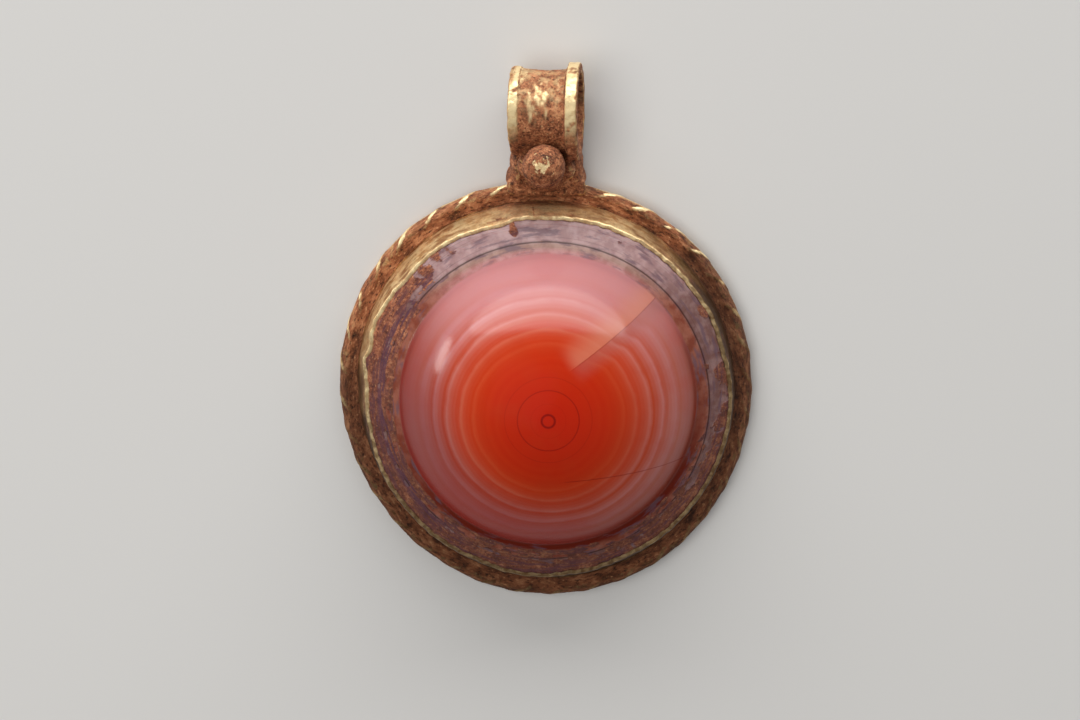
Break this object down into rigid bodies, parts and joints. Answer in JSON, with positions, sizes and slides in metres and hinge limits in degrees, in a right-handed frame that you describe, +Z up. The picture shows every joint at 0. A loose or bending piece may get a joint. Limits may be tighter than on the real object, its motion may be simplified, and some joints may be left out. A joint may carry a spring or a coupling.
{
  "type": "gold pendant with an agate cabochon",
  "caption": "Round gold pendant with a high-domed banded agate in a box setting, a twisted wire border, a ribbed hanging loop and a gold grain.",
  "frame": {"origin": "centre of the back plate's underside, which the pendant lies on", "axes": "+Z up out of the stone's face, +Y from the stone to the hanging loop, +X to the right seen from the face"},
  "size_m": [0.0332, 0.0436, 0.0133],
  "materials": {
    "gold": "ancient gold, bright and scratched where it is worn, with brown-orange soil in every hollow",
    "agate": "polished banded agate, red-orange at the top with pink and white rings, soil on its shoulder"
  },
  "bodies": {
    "root": {"back_plate": "gold", "border_wire": "gold", "bezel_band": "gold", "agate_cabochon": "agate", "suspension_loop": "gold", "gold_grain": "gold"}
  },
  "joints": []
}
